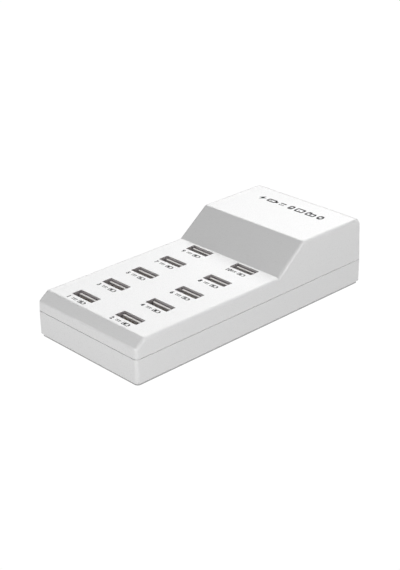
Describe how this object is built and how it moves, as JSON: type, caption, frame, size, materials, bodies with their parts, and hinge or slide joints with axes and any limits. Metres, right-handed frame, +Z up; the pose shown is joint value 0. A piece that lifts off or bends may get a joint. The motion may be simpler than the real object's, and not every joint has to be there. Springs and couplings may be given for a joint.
{
  "type": "multi port desktop charger",
  "caption": "Low stepped desktop charger: white two-piece case, upright sockets in two columns on the deck, raised rear block with a mains inlet.",
  "frame": {"origin": "middle of the footprint, on the desk under the feet", "axes": "+X to the right seen from the low front end, +Y from the low front end to the tall rear end, +Z up"},
  "size_m": [0.0644, 0.1404, 0.0333],
  "materials": {
    "case_white": "satin",
    "port_steel": "satin",
    "port_insulator": "satin",
    "contact_gold": "polished",
    "board_green": "satin",
    "inlet_black": "satin",
    "pin_nickel": "polished",
    "ferrite_grey": "matte",
    "bobbin_black": "matte",
    "tape_yellow": "satin",
    "copper_wire": "polished",
    "sleeve_blue": "gloss",
    "film_yellow": "gloss",
    "fuse_brown": "satin",
    "chip_black": "matte",
    "sink_aluminium": "satin",
    "screw_steel": "satin",
    "foot_rubber": "matte"
  },
  "bodies": {
    "root": {"upper_cover": "case_white", "lower_base": "case_white", "case_screws": "screw_steel", "inlet_housing": "inlet_black", "inlet_pins": "pin_nickel", "main_board": "board_green", "transformer_core": "ferrite_grey", "transformer_bobbin": "bobbin_black", "transformer_winding": "tape_yellow", "choke_core": "ferrite_grey", "choke_winding": "copper_wire", "filter_capacitor": "film_yellow", "fuse": "fuse_brown", "bridge_rectifier": "chip_black", "switch_heat_sink": "sink_aluminium", "output_heat_sink": "sink_aluminium", "switching_transistor": "chip_black", "output_rectifier": "chip_black", "charge_controllers": "chip_black", "bulk_capacitor_1": "sleeve_blue", "output_capacitor_1": "sleeve_blue", "bulk_capacitor_2": "sleeve_blue", "output_capacitor_2": "sleeve_blue", "rubber_foot_1": "foot_rubber", "rubber_foot_2": "foot_rubber", "rubber_foot_3": "foot_rubber", "rubber_foot_4": "foot_rubber", "usb_shell_01": "port_steel", "usb_insulator_01": "port_insulator", "usb_contacts_01": "contact_gold", "usb_shell_02": "port_steel", "usb_insulator_02": "port_insulator", "usb_contacts_02": "contact_gold", "usb_shell_03": "port_steel", "usb_insulator_03": "port_insulator", "usb_contacts_03": "contact_gold", "usb_shell_04": "port_steel", "usb_insulator_04": "port_insulator", "usb_contacts_04": "contact_gold", "usb_shell_05": "port_steel", "usb_insulator_05": "port_insulator", "usb_contacts_05": "contact_gold", "usb_shell_06": "port_steel", "usb_insulator_06": "port_insulator", "usb_contacts_06": "contact_gold", "usb_shell_07": "port_steel", "usb_insulator_07": "port_insulator", "usb_contacts_07": "contact_gold", "usb_shell_08": "port_steel", "usb_insulator_08": "port_insulator", "usb_contacts_08": "contact_gold", "usb_shell_09": "port_steel", "usb_insulator_09": "port_insulator", "usb_contacts_09": "contact_gold", "usb_shell_10": "port_steel", "usb_insulator_10": "port_insulator", "usb_contacts_10": "contact_gold"}
  },
  "joints": []
}
